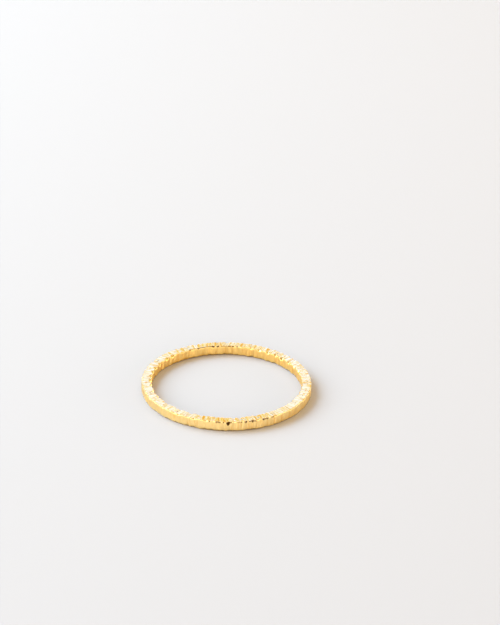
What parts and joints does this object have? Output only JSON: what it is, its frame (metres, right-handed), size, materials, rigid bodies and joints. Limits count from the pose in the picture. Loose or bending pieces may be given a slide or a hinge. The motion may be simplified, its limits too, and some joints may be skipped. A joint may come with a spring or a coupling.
{
  "type": "stackable ring",
  "caption": "Thin finger ring of nearly square gold wire, hammered across its outer wall and both rims, lying on its side; its flat rims let it stack with other rings.",
  "frame": {"origin": "on the ring's axis, in the plane of the bottom rim that it rests on", "axes": "+Z along the ring's axis, the way the finger goes, up when the ring lies on its side; +X and +Y are radial and the ring looks alike all round"},
  "size_m": [0.0196, 0.0196, 0.0012],
  "materials": {
    "gold": "polished yellow gold with cross-hammered marks"
  },
  "bodies": {
    "root": {"hammered_band": "gold"}
  },
  "joints": []
}
